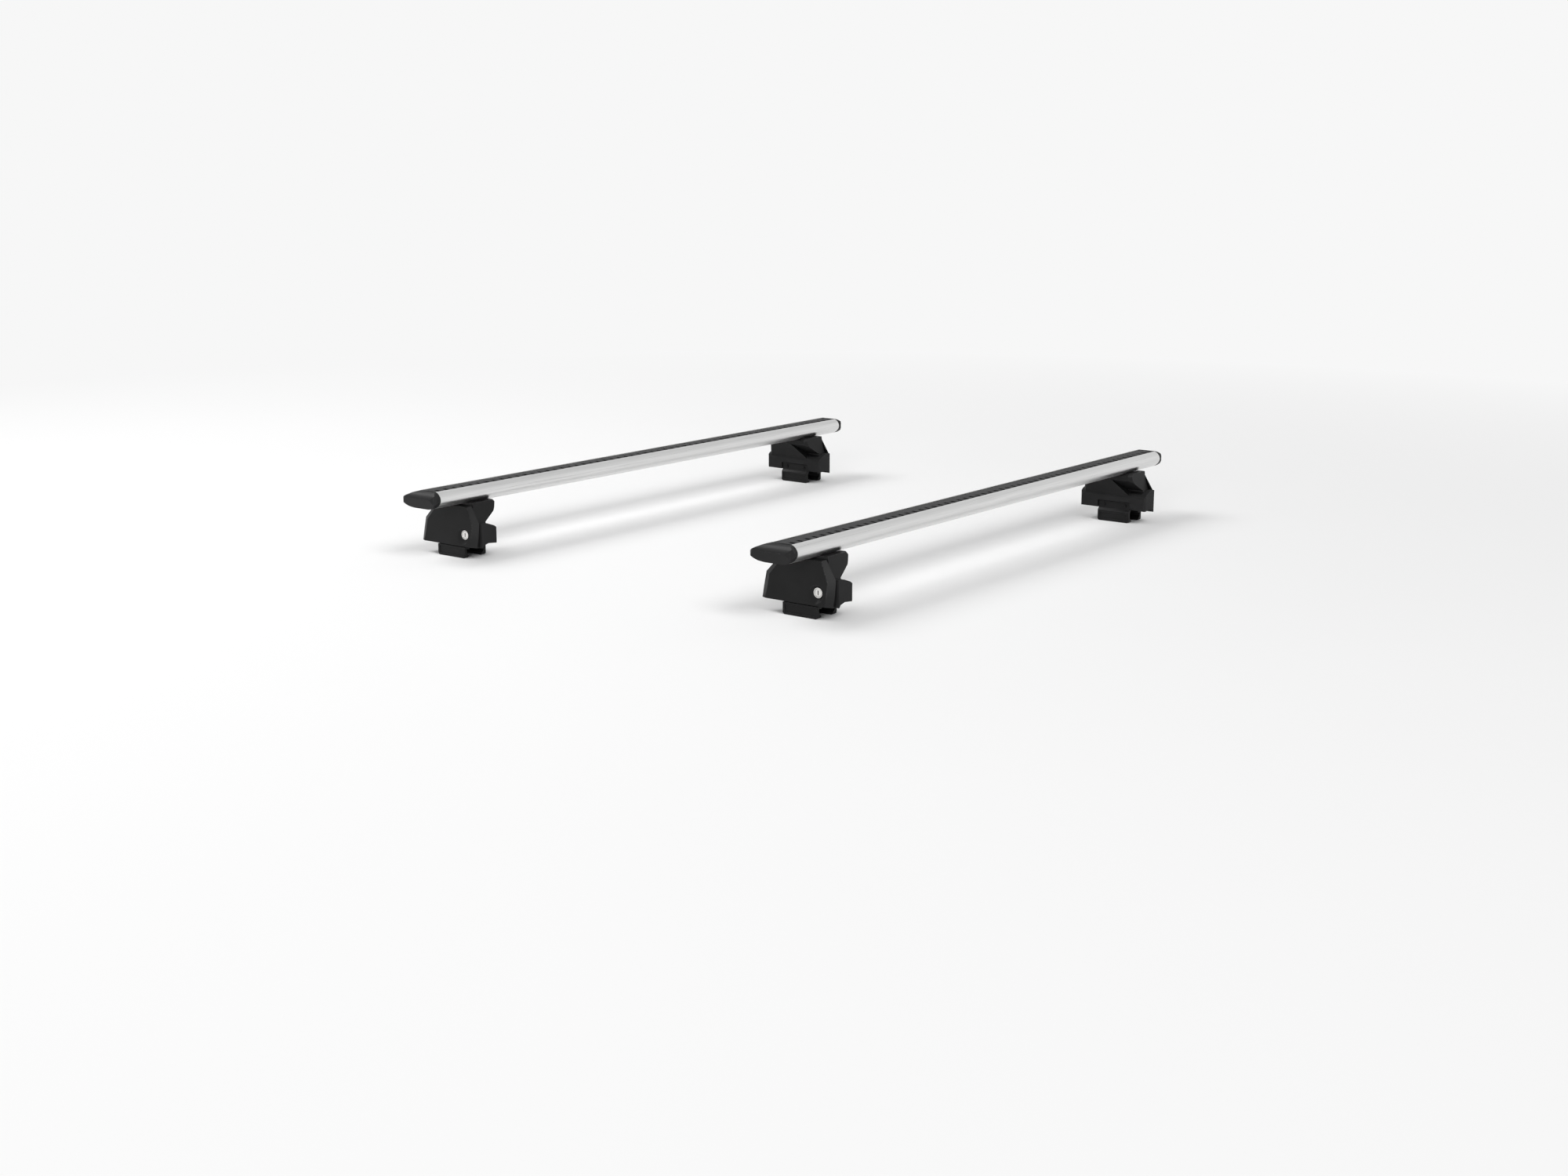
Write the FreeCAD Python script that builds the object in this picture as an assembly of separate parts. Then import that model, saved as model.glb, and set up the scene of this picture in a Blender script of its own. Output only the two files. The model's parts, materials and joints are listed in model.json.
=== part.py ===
import FreeCAD, Part
import os
from FreeCAD import Vector

# A pair of wing-section roof cross bars on clamp feet, in millimetres.
# X runs forward, Y along the bars with -Y on the right-hand side, Z up.
# The origin lies under the middle of the pair, level with the jaw bottoms.

# Driving dimensions
BAR_GAP = 690.0          # between the middles of the two bars' feet
FORE_SHIFT = 2.0         # brings the middle of the overall box over the origin
BAR_LENGTH = 1052.0      # aluminium, without the end caps
TOP = 113.5              # top of the rubber strip above the jaw bottoms
FOOT_INSET = 69.0        # foot middle, inward from the aluminium end
SKIN = 2.2               # wall of the extrusion
UNDERSIDE = -28.0        # flat underside of the bar, below the strip top
ARC_CHORDS = (3, 4, 4, 1, 3, 4, 3, 1)   # straight steps for each edge of the aerofoil

STRIP_BACK = -3.0
STRIP_FRONT = 27.0
STRIP_THICK = 2.4
NOTCH_PITCH = 17.5
NOTCH_WIDTH = 4.8
NOTCH_LENGTH = 10.6
NOTCH_DEPTH = 1.6

TRACK_X = 12.0           # middle of the upper slot
TRACK_THROAT = 11.0
TRACK_WIDTH = 21.0
TRACK_FLOOR = -11.0
FOOT_THROAT = 11.0       # slot in the underside, over the foot middle
FOOT_TRACK = 21.0
FOOT_LIP = 2.6
FOOT_TRACK_TOP = -19.0

CAP_LENGTH = 14.0
CAP_FRAME = 3.0
HINGE_OUT = 5.5          # hinge pin beyond the aluminium end
HINGE_DOWN = -26.0
KNUCKLE = 2.2

COVER_BACK = 7.0         # joint between cover and foot, outward of the foot middle
COVER_WALL = 2.4
LOCK_X = 32.4
LOCK_W = -76.0
LOCK_RADIUS = 7.4
BOLT_W = -70.0
PAD_HALF = 62.0
JAW_X = 3.0              # middle of jaws and bolt, forward of the foot middle
JAW_HALF = 30.0
JAW_NECK = 14.0
SADDLE_GAP = 0.35        # between the foot's saddle and the bar that slides on it

# Pad and the block of the foot inside it, as (out, w) corners
PAD_PROFILE = [(6.5, -56.5), (-6.0, -57.0), (-20.0, -62.0), (-25.5, -65.6), (-27.5, -69.5), (-27.5, -87.5),
               (-25.0, -90.8), (-18.0, -90.0), (-7.0, -89.0), (2.5, -91.4), (5.0, -94.6), (6.5, -95.4)]
BLOCK_PROFILE = [(5.0, -56.56), (-6.0, -57.0), (-20.0, -62.0), (-21.0, -62.6545), (-21.0, -86.0), (5.0, -86.0)]

# Cover outline from top to bottom, on the lock side and on the other side
LOCK_EDGE = [(41.0, -29.6), (58.0, -57.0), (58.0, -78.0), (56.2, -95.0)]
FREE_EDGE = [(-35.0, -29.6), (-62.0, -58.0), (-64.5, -78.0), (-66.0, -95.0)]


# Small builders. w is height measured from the strip top, out is the
# distance outward from the foot middle (towards -Y on a right-hand foot).
def at(x, out, w):
    return Vector(x, -out, TOP + w)


def ray(angle):
    """Unit vector in the X-Z plane, so many degrees below +X."""
    return FreeCAD.Rotation(Vector(0, 1, 0), angle).multVec(Vector(1, 0, 0))


def bend(start, heading, finish, radius):
    """Clockwise arc in the X-Z plane; headings are degrees below +X."""
    centre = start - radius * ray(heading - 90.0)
    middle = centre + radius * ray(0.5 * (heading + finish) - 90.0)
    end = centre + radius * ray(finish - 90.0)
    return Part.Arc(start, middle, end).toShape(), end


def sheet(corners):
    return Part.Face(Part.makePolygon(corners + corners[:1]))


def faceted(rings):
    """Solid with flat faces between closed rings that have equal corner counts."""
    outlines = [rings[0], rings[-1]]
    for near, far in zip(rings, rings[1:]):
        for i in range(len(near)):
            outlines.append([near[i - 1], near[i], far[i], far[i - 1]])
    skin = Part.makeShell([sheet(outline) for outline in outlines])
    skin.sewShape()
    return Part.makeSolid(skin)


def box(x0, x1, out0, out1, w0, w1):
    return Part.makeBox(x1 - x0, out1 - out0, w1 - w0, at(x0, out1, w0))


def across(points, x0, x1):
    """Prism along X from corners given as (out, w)."""
    return sheet([at(x0, out, w) for out, w in points]).extrude(Vector(x1 - x0, 0, 0))


def polygon(x, out, w, radius, sides):
    """Corners of a regular polygon that looks along Y."""
    return [at(x, out, w) + radius * ray(360.0 * i / sides) for i in range(sides)]


def rod(x, w, radius, out0, out1, sides=None):
    """Cylinder along Y, or a prism with that many sides."""
    if sides is None:
        return Part.makeCylinder(radius, out1 - out0, at(x, out1, w), Vector(0, 1, 0))
    return sheet(polygon(x, out0, w, radius, sides)).extrude(Vector(0, out0 - out1, 0))


def pin(out, w, radius, x0, x1, sides=None):
    """Cylinder along X, or a prism with that many sides."""
    if sides is None:
        return Part.makeCylinder(radius, x1 - x0, at(x0, out, w), Vector(1, 0, 0))
    corners = []
    for i in range(sides):
        turn = FreeCAD.Rotation(Vector(1, 0, 0), 360.0 * i / sides)
        corners.append(at(x0, out, w) + turn.multVec(Vector(0, 0, radius)))
    return sheet(corners).extrude(Vector(x1 - x0, 0, 0))


def fuse(first, *others):
    return first.multiFuse(list(others)).removeSplitter()


def rounded(shape, radius, wanted):
    """Fillet the straight edges whose middle point the test accepts."""
    edges = []
    for edge in shape.Edges:
        middle = edge.valueAt(0.5 * (edge.FirstParameter + edge.LastParameter))
        if len(edge.Vertexes) == 2 and wanted(edge, middle):
            edges.append(edge)
    return shape.makeFillet(radius, edges)


def along(edge, axis):
    start, end = [vertex.Point for vertex in edge.Vertexes]
    step = end - start
    return abs(step.dot(axis)) > 0.999 * step.Length


# Aerofoil: blunt nose to the front, flat underside, tail carried high.
def wing_outline():
    def p(x, w):
        return Vector(x, 0, TOP + w)
    crown, knee = bend(p(27.6, -0.4), 14.0, 60.0, 15.15)
    nose, chin = bend(knee, 60.0, 125.0, 10.07)
    jowl, keel = bend(chin, 125.0, 180.0, 22.68)
    heel, tail_low, tail_high, seat = p(-14.0, keel.z - TOP), p(-37.2, -19.2), p(-37.5, -14.9), p(-3.4, -0.4)
    edges = [
        crown, nose, jowl,
        Part.makeLine(keel, heel),
        Part.Arc(heel, p(-26.4, -25.72), tail_low).toShape(),
        Part.Arc(tail_low, p(-38.6, -16.9), tail_high).toShape(),
        Part.Arc(tail_high, p(-21.2, -5.9), seat).toShape(),
        Part.makeLine(seat, p(27.6, -0.4)),
    ]
    return Part.Wire(edges)


def wing_prism(out0, out1, grow=0.0, chorded=False):
    """Length of the aerofoil; the small end pieces take short chords for its arcs."""
    outline = wing_outline()
    if chorded:
        corners = []
        for edge, chords in zip(outline.Edges, ARC_CHORDS):
            corners += edge.discretize(chords + 1)[:-1]
        outline = Part.makePolygon(corners + corners[:1])
    face = Part.Face(outline)
    if grow:
        face = Part.Face(face.makeOffset2D(grow).Wires)
    face.translate(Vector(0, -out0, 0))
    return face.extrude(Vector(0, out0 - out1, 0))


def slot_cut(half):
    """Strip seat and upper slot, as one tool reaching past both ends."""
    seat = box(STRIP_BACK - 0.4, STRIP_FRONT + 0.6, -half, half, -STRIP_THICK, 2.0)
    throat = box(TRACK_X - TRACK_THROAT / 2, TRACK_X + TRACK_THROAT / 2, -half, half, -5.0, 0.0)
    channel = box(TRACK_X - TRACK_WIDTH / 2, TRACK_X + TRACK_WIDTH / 2, -half, half, TRACK_FLOOR, -4.6)
    return fuse(seat, throat, channel)


def bar():
    half = BAR_LENGTH / 2
    far = half + 1.0
    lower_throat = box(-FOOT_THROAT / 2, FOOT_THROAT / 2, -far, far, UNDERSIDE - 1, FOOT_TRACK_TOP)
    lower_track = box(-FOOT_TRACK / 2, FOOT_TRACK / 2, -far, far, UNDERSIDE + FOOT_LIP, FOOT_TRACK_TOP)
    kept = [
        box(STRIP_BACK - 3, STRIP_FRONT + 3, -far, far, -4.6, 1.0),
        box(TRACK_X - 12.5, TRACK_X + 12.5, -far, far, TRACK_FLOOR - 2, 1.0),
        box(-12.5, 12.5, -far, far, UNDERSIDE, FOOT_TRACK_TOP + 2),
        box(-14.5, -12.5, -far, far, UNDERSIDE, 1.0),
        box(12.5, 14.5, -far, far, UNDERSIDE, -10.0),
    ]
    chambers = wing_prism(-far, far, -SKIN).cut(kept)
    return wing_prism(-half, half).cut([slot_cut(far), lower_throat, lower_track, chambers])


def strip():
    half = BAR_LENGTH / 2
    flat = -STRIP_THICK
    corners = [
        (STRIP_BACK, flat), (STRIP_BACK, -0.7), (STRIP_BACK + 1.6, 0.0),
        (STRIP_FRONT - 1.6, 0.0), (STRIP_FRONT, -0.7), (STRIP_FRONT, flat),
        (TRACK_X + 5.2, flat), (TRACK_X + 5.2, -5.0), (TRACK_X + 7.5, -5.4), (TRACK_X + 3.0, -7.6),
        (TRACK_X - 3.0, -7.6), (TRACK_X - 7.5, -5.4), (TRACK_X - 5.2, -5.0), (TRACK_X - 5.2, flat),
    ]
    body = sheet([at(x, half, w) for x, w in corners]).extrude(Vector(0, BAR_LENGTH, 0))
    count = int(BAR_LENGTH // NOTCH_PITCH)
    first = -0.5 * (count - 1) * NOTCH_PITCH
    tools = []
    for index in range(count):
        middle = first + index * NOTCH_PITCH
        tools.append(box(STRIP_FRONT - NOTCH_LENGTH, STRIP_FRONT + 1.0, middle - NOTCH_WIDTH / 2,
                         middle + NOTCH_WIDTH / 2, -NOTCH_DEPTH, 1.0))
    return body.cut(tools)


# End cap: a frame pegged into the bar end, and a lid that folds down to open
# the upper slot. Both are drawn round y = 0, then carried to the bar end.
def cap_frame():
    frame = wing_prism(0.0, CAP_FRAME, chorded=True).cut(slot_cut(CAP_FRAME + 1))
    pieces = [rod(30.0, -14.5, 4.4, -14.0, 1.0, 8), box(-28.0, -18.0, -14.0, 1.0, -19.5, -14.0)]
    for x0, x1 in ((-11.0, -4.4), (8.4, 15.0)):
        pieces.append(pin(HINGE_OUT, HINGE_DOWN, KNUCKLE, x0, x1, 10))
        pieces.append(box(x0, x1, 1.0, HINGE_OUT, UNDERSIDE + 0.05, HINGE_DOWN + KNUCKLE))
    pieces.append(pin(HINGE_OUT, HINGE_DOWN, 0.8, -5.0, 9.0, 8))
    return fuse(frame, *pieces)


def cap_lid():
    inner = CAP_FRAME + 0.3
    brow = Part.Arc(at(-60, inner, -0.3), at(-60, 9.3, -4.4), at(-60, CAP_LENGTH, -12.2))
    side = sheet(brow.toShape().discretize(6) + [at(-60, 8.8, -28.4), at(-60, inner, -28.4)])
    side = side.extrude(Vector(120, 0, 0))
    rim = CAP_LENGTH + 0.2
    plan = [(38.7, inner), (37.6, 7.6), (33.6, 11.4), (27.6, 13.5), (22.0, rim),
            (-27.0, rim), (-31.6, 12.9), (-35.4, 10.1), (-37.8, 6.6), (-38.9, inner)]
    plan = sheet([Vector(x, -out, 0) for x, out in plan]).extrude(Vector(0, 0, TOP + 20))
    lid = wing_prism(inner, CAP_LENGTH + 1, chorded=True).common(side).common(plan)
    hollow = wing_prism(inner - 1, 6.2, -2.6, chorded=True).cut(box(-60, 60, 0, 30, UNDERSIDE, -22.4))
    room = [hollow, box(-60, 60, 0, HINGE_OUT, UNDERSIDE - 1, HINGE_DOWN)]
    for x0, x1 in ((-11.4, -4.0), (8.0, 15.4)):
        room.append(box(x0, x1, 0, HINGE_OUT + KNUCKLE + 0.4, UNDERSIDE - 1, HINGE_DOWN + KNUCKLE + 0.4))
    lid = lid.cut(room)
    lid = fuse(lid, pin(HINGE_OUT, HINGE_DOWN, KNUCKLE - 0.1, -4.0, 8.0, 10))
    return lid.cut(pin(HINGE_OUT, HINGE_DOWN, 1.2, -10.0, 14.0, 8))


# Foot: all pieces are drawn for a right-hand foot whose middle is at x = y = 0.
def level_frame(w, inner, lock_x, free_x):
    """Level ring whose two inner corners are cut off."""
    return [at(x, out, w) for x, out in ((lock_x, 6.2), (lock_x, inner + 5.0), (lock_x - 5.0, inner),
                                         (free_x + 5.0, inner), (free_x, inner + 5.0), (free_x, 6.2))]


def scoop():
    """Hollow under the collar on the lock side, with a slanting wall behind it."""
    profile = [(-60.0, -37.5), (-44.2, -37.5), (-13.0, -57.0), (-13.0, -75.0), (-60.0, -75.0)]
    behind = [at(8.5 - 0.88 * (w + 41.0), out, w) for out, w in profile]
    return faceted([behind, [at(70.0, out, w) for out, w in profile]])


def jaw_room():
    return fuse(box(JAW_X - JAW_NECK - 0.8, JAW_X + JAW_NECK + 0.8, -1.6, 12.0, -98.0, -57.0),
                box(JAW_X - JAW_HALF - 1.2, JAW_X + JAW_HALF + 1.2, -1.6, 12.0, -98.0, -90.8))


def lock_room():
    return box(19.0, 46.0, -2.5, 12.0, LOCK_W - 14.0, LOCK_W + 16.0)


def base():
    rings = [level_frame(-25.5, -42.0, 43.0, -43.0), level_frame(-29.5, -46.0, 43.4, -43.4),
             level_frame(-37.5, -44.2, 44.5, -46.0), level_frame(-60.0, -29.0, 52.0, -57.0),
             level_frame(-72.0, -25.0, 52.0, -60.0)]
    neck = faceted(rings).cut([scoop(), across(PAD_PROFILE, -PAD_HALF, PAD_HALF)])
    whole = fuse(neck, across(BLOCK_PROFILE, -52.0, 52.0))
    saddle = wing_prism(-60.0, 20.0, SADDLE_GAP)
    keeper = box(18.0, 24.0, 3.6, 6.4, LOCK_W - 5.0, LOCK_W + 5.0)
    stem_seat = box(-5.2, 5.2, -28.0, -10.0, -37.0, -27.0)
    nut_slot = box(JAW_X - 6.2, JAW_X + 6.2, -14.2, -7.8, -87.0, -63.8)
    bolt_way = rod(JAW_X, BOLT_W, 3.8, -15.5, 2.0, 8)
    head_way = rod(JAW_X, BOLT_W, 8.0, -1.6, 12.0, 12)
    return whole.cut([saddle, jaw_room(), lock_room().cut(keeper), stem_seat, nut_slot, bolt_way, head_way])


def pad():
    body = across(PAD_PROFILE, -PAD_HALF, PAD_HALF)
    body = rounded(body, 4.0, lambda edge, m: along(edge, Vector(0, 0, 1)) and m.y > 10)
    body = body.cut(across(BLOCK_PROFILE, -52.0, 52.0).fuse(box(-52.0, 52.0, 4.0, 8.0, -86.0, -50.0)))
    inner_window = box(JAW_X - JAW_HALF - 1, JAW_X + JAW_HALF + 1, -35.0, -21.0, -99.0, -78.0)
    under_jaw = box(JAW_X - JAW_HALF - 1.2, JAW_X + JAW_HALF + 1.2, -1.6, 12.0, -99.0, -80.0)
    return body.cut([inner_window, under_jaw, lock_room()])


def jaw(profile):
    """Jaw drawn as a profile, with its two lower corners rounded."""
    body = across(profile, JAW_X - JAW_HALF, JAW_X + JAW_HALF)
    return rounded(body, 4.0, lambda edge, m: along(edge, Vector(0, 1, 0))
                   and abs(abs(m.x - JAW_X) - JAW_HALF) < 0.1 and m.z < 0.1)


def jaw_outer():
    body = jaw([(-1.0, -60.0), (3.0, -60.0), (3.0, -79.0), (9.5, -90.0), (9.5, -95.6), (17.5, -95.6),
                (17.5, -TOP), (8.0, -TOP), (8.0, -110.0), (12.5, -105.5), (12.5, -99.6),
                (6.2, -99.6), (5.4, -92.0), (-1.0, -81.0)])
    for side in (-1, 1):
        ends = sorted((JAW_X + side * JAW_NECK, JAW_X + side * (JAW_HALF + 1)))
        body = body.cut(box(ends[0], ends[1], -5.0, 30.0, -91.6, -55.0))
    inset = box(JAW_X - JAW_HALF + 4, JAW_X + JAW_HALF - 4, 16.5, 18.5, 4.0 - TOP, -98.4)
    return body.cut([inset, rod(JAW_X, BOLT_W, 3.7, -5.0, 10.0, 12)])


def jaw_inner():
    body = jaw([(-21.0, -79.0), (-21.0, -93.0), (-24.0, -96.5), (-24.0, -105.5), (-19.5, -110.0), (-19.5, -TOP),
                (-29.0, -TOP), (-29.0, -95.0), (-25.5, -91.0), (-25.5, -79.0)])
    return body.cut(box(JAW_X - JAW_HALF + 4, JAW_X + JAW_HALF - 4, -31.0, -28.0, 4.0 - TOP, -98.4))


def bolt():
    head = rod(JAW_X, BOLT_W, 5.0, 3.0, 7.6, 16)
    washer = rod(JAW_X, BOLT_W, 6.4, 3.0, 4.2, 16)
    shank = rod(JAW_X, BOLT_W, 3.0, -15.0, 3.5, 12)
    return fuse(head, washer, shank).cut(rod(JAW_X, BOLT_W, 2.9, 4.6, 9.0, 6))


def nut():
    block = box(JAW_X - 6.0, JAW_X + 6.0, -14.0, -8.0, BOLT_W - 6.0, BOLT_W + 6.0)
    return block.cut(rod(JAW_X, BOLT_W, 3.6, -16.0, 0.0, 10))


def slot_plate():
    plate = box(-10.1, 10.1, -34.0, 2.0, UNDERSIDE + FOOT_LIP + 0.4, FOOT_TRACK_TOP - 0.4)
    return fuse(plate, box(-5.0, 5.0, -27.8, -10.2, -36.8, -24.0))


# Cover: three outlines joined flat to flat give the sloping face and its wide
# edge facets. The face leans out towards the bottom.
def face_out(w, inset):
    return 11.6 + (-30.0 - w) * 7.4 / 65.0 - inset


def x_on_plane(p, q, r, out, w):
    """X of the point at that depth and height in the plane of three others."""
    normal = (q - p).cross(r - p)
    offset = at(0, out, w) - p
    return -(normal.y * offset.y + normal.z * offset.z) / normal.x + p.x


def cover_side(rim, inset):
    """Back, edge and front corners down one side of the cover."""
    inward = inset if rim[0][0] < 0 else -inset
    rim = [(x + inward, w) for x, w in rim]
    rim[0] = (rim[0][0], rim[0][1] - inset)
    rim[-1] = (rim[-1][0], rim[-1][1] + inset)
    back = [at(x, COVER_BACK - (1.0 if inset else 0.0), w) for x, w in rim]
    edge = [at(x, max(face_out(w, inset) - 6.4, COVER_BACK + 0.5), w) for x, w in rim]
    shoulder = 10.0 if rim[0][0] < 0 else -10.0
    knee = at(rim[1][0] + shoulder, face_out(-59.5, inset), -59.5)

    def on_facet(i, third, w):
        out = face_out(w, inset)
        return at(x_on_plane(edge[i], edge[i + 1], third, out, w), out, w)
    middle = on_facet(1, knee, -79.0)
    front = [on_facet(0, knee, rim[0][1] - 2.6), knee, middle, on_facet(2, middle, rim[-1][1] + 0.8)]
    return back, edge, front


def cover_form(inset):
    lock_side, free_side = cover_side(LOCK_EDGE, inset), cover_side(FREE_EDGE, inset)
    return faceted([one + other[::-1] for one, other in zip(lock_side, free_side)])


def lock_well(grow):
    """Flared hollow round the lock, opening rearward and down."""
    return faceted([polygon(LOCK_X, 14.0 - grow, LOCK_W, LOCK_RADIUS + 1.5 + grow, 18),
                    polygon(LOCK_X - 4.4, 19.6, LOCK_W - 1.4, 16.0 + grow, 18)])


def cover():
    boss = rod(LOCK_X, LOCK_W, LOCK_RADIUS + 2.6, COVER_BACK + 0.2, 20.0, 18)
    hollow = cover_form(COVER_WALL).cut([boss, lock_well(2.0)])
    lock_hole = rod(LOCK_X, LOCK_W, LOCK_RADIUS + 0.1, 0.0, 20.0, 24)
    notch = box(JAW_X - JAW_HALF - 2.5, JAW_X + JAW_HALF + 2.5, 0.0, 16.0, -97.0, -91.0)
    return cover_form(0.0).cut([hollow, lock_well(0.0), lock_hole, notch])


def lock_sleeve():
    sleeve = rod(LOCK_X, LOCK_W, LOCK_RADIUS, 4.2, 15.1, 24)
    return sleeve.cut(rod(LOCK_X, LOCK_W, LOCK_RADIUS - 1.3, 0.0, 20.0, 24))


def lock_core():
    core = rod(LOCK_X, LOCK_W, LOCK_RADIUS - 1.7, 1.0, 14.7, 24)
    tongue = box(LOCK_X - 3.0, LOCK_X + 3.0, 0.4, 3.0, LOCK_W - 11.5, LOCK_W + 3.0)
    keyway = box(LOCK_X - 0.7, LOCK_X + 0.7, 9.0, 16.0, LOCK_W - 3.2, LOCK_W + 3.2)
    return fuse(core, tongue).cut(keyway)


os.makedirs("parts", exist_ok=True)
half_gap = BAR_GAP / 2
foot_y = BAR_LENGTH / 2 - FOOT_INSET
foot_pieces = {"base": base(), "pad": pad(), "jaw_outer": jaw_outer(), "jaw_inner": jaw_inner(),
               "bolt": bolt(), "nut": nut(), "slot_plate": slot_plate(), "cover": cover(),
               "lock_sleeve": lock_sleeve(), "lock_core": lock_core()}
cap_pieces = {"cap_frame": cap_frame(), "cap_lid": cap_lid()}
bar_pieces = {"bar": bar(), "strip": strip()}

for place, x in (("front", FORE_SHIFT + half_gap), ("rear", FORE_SHIFT - half_gap)):
    for name, shape in bar_pieces.items():
        piece = shape.copy()
        piece.translate(Vector(x, 0, 0))
        piece.exportStep("parts/%s_%s.step" % (place, name))
    for side, sign in (("right", -1), ("left", 1)):
        for name, shape in cap_pieces.items():
            piece = shape.copy()
            if sign > 0:
                piece = piece.mirror(Vector(0, 0, 0), Vector(0, 1, 0))
            piece.translate(Vector(x, sign * BAR_LENGTH / 2, 0))
            piece.exportStep("parts/%s_%s_%s.step" % (place, side, name))
        for name, shape in foot_pieces.items():
            piece = shape.copy()
            if sign > 0:
                piece = piece.mirror(Vector(0, 0, 0), Vector(0, 1, 0))
            piece.translate(Vector(x, sign * foot_y, 0))
            piece.exportStep("parts/%s_%s_%s.step" % (place, side, name))
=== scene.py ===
# %% [markdown]
# # A pair of roof cross bars
# Two wing-section bars of anodised aluminium stand on four clamp feet. The CAD
# model already holds every solid and every joint. This lesson dresses it: it
# draws the long sections again with fine curves, rounds the edges of the
# mouldings, gives each finish its own node material, and lights the result.

# %% Load the CAD model and keep its pieces
import cmath
import json
import math

import bmesh
import bpy
from mathutils import Matrix, Vector
from mathutils.geometry import intersect_point_line


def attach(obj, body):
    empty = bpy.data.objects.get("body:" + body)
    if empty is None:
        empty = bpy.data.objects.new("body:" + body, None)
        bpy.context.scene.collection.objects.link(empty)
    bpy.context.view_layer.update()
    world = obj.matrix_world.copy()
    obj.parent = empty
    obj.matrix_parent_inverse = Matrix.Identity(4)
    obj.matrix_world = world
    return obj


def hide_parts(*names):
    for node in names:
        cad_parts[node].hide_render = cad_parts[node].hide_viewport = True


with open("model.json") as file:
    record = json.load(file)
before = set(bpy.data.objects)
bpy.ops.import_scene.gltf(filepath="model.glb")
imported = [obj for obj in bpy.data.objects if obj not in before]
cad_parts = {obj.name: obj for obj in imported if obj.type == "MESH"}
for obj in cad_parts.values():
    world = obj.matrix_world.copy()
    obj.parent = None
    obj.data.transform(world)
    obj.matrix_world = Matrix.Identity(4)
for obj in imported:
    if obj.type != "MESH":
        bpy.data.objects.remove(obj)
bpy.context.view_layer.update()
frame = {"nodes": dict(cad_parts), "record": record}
solids = frame["nodes"]

# %% [markdown]
# ## The measures that this lesson shares with the CAD model
# Every foot is drawn in its own small frame: x forward, out away from the
# middle of the bar, w up from the top of the rubber strip, so that all of a
# foot lies at negative w. Writing the pieces in that frame once, and carrying
# them to the four corners with a matrix, is less work than placing each by
# hand, and a right-hand foot is simply the mirror image of a left-hand one.

# %% Measures in metres, and the four corners
MM = 0.001
TOP = 113.5 * MM
BAR_X = {"front": 347 * MM, "rear": -343 * MM}
BAR_LENGTH = 1052 * MM
FOOT_Y = 457 * MM
OUTWARD = {"right": -1, "left": 1}
CORNERS = [(bar, side) for bar in BAR_X for side in OUTWARD]


def foot_matrix(bar, side):
    """From a foot's own frame (x, out, w) to the model."""
    sign = OUTWARD[side]
    place = Matrix.Translation((BAR_X[bar], sign * FOOT_Y, TOP))
    return place @ Matrix.Diagonal((1, sign, 1, 1))


print("corners:", ["%s_%s" % corner for corner in CORNERS])

# %% [markdown]
# ## Helpers for node trees
# Shader trees and geometry trees are both built from nodes, links and values,
# so one helper can add a node, set its options, and feed its inputs: a socket
# is linked, anything else becomes the input's own value.

# %% Add a node and feed it
def add(tree, kind, feeds=None, **options):
    node = tree.nodes.new(kind)
    for key, value in options.items():
        setattr(node, key, value)
    for key, value in (feeds or {}).items():
        if isinstance(value, bpy.types.NodeSocket):
            tree.links.new(value, node.inputs[key])
        else:
            node.inputs[key].default_value = value
    return node


def start_finish(name, metallic):
    """New material; gives back its tree, its shader and the object coordinates."""
    material = bpy.data.materials.new(name)
    material.use_nodes = True
    tree = material.node_tree
    shader = tree.nodes["Principled BSDF"]
    shader.inputs["Metallic"].default_value = metallic
    place = add(tree, "ShaderNodeTexCoord").outputs["Object"]
    return material, tree, shader, place


print("nodes can be added and fed")

# %% [markdown]
# ## Words for a finish
# Every finish below is said in four words. Grain is noise of a given size, span
# stretches it over a useful range, tint mixes two colours by it, and relief
# turns it into a shallow bump. Four small helpers keep each recipe to a few
# lines that can be read aloud.

# %% Grain, span, tint and relief
def grain(tree, place, size, detail=3.0, stretch=(1, 1, 1)):
    """Noise whose lumps are about so many metres across."""
    vector = add(tree, "ShaderNodeMapping", {"Vector": place, "Scale": stretch}).outputs["Vector"]
    feeds = {"Vector": vector, "Scale": 1 / size, "Detail": detail}
    return add(tree, "ShaderNodeTexNoise", feeds).outputs[0]


def span(tree, value, low, high, start=0.3, stop=0.7):
    """Stretch a noise value, which stays near 0.3 to 0.7, over another range."""
    feeds = {"Value": value, "From Min": start, "From Max": stop, "To Min": low, "To Max": high}
    return add(tree, "ShaderNodeMapRange", feeds).outputs["Result"]


def tint(tree, factor, first, second):
    """Colour between two others, which may be sockets."""
    pair = [c if isinstance(c, bpy.types.NodeSocket) else (*c, 1) for c in (first, second)]
    feeds = {0: factor, 6: pair[0], 7: pair[1]}
    return add(tree, "ShaderNodeMix", feeds, data_type="RGBA").outputs[2]


def relief(tree, shader, height, depth, strength):
    bump = add(tree, "ShaderNodeBump", {"Height": height, "Distance": depth, "Strength": strength})
    tree.links.new(bump.outputs["Normal"], shader.inputs["Normal"])


print("finishes can be written")

# %% [markdown]
# ## Satin anodised aluminium
# The bars are pulled through a die, so the metal carries fine lines along its
# length, and anodising leaves it satin rather than bright. Noise that is
# stretched along Y by a hundred times gives those lines. They change colour,
# roughness and relief together, because one scratch does all three.

# %% Anodised finish
SILVER_LINES = (0.655, 0.655, 0.652), (0.785, 0.785, 0.78)
SILVER_CLOUD = (0.72, 0.72, 0.716)


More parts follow.
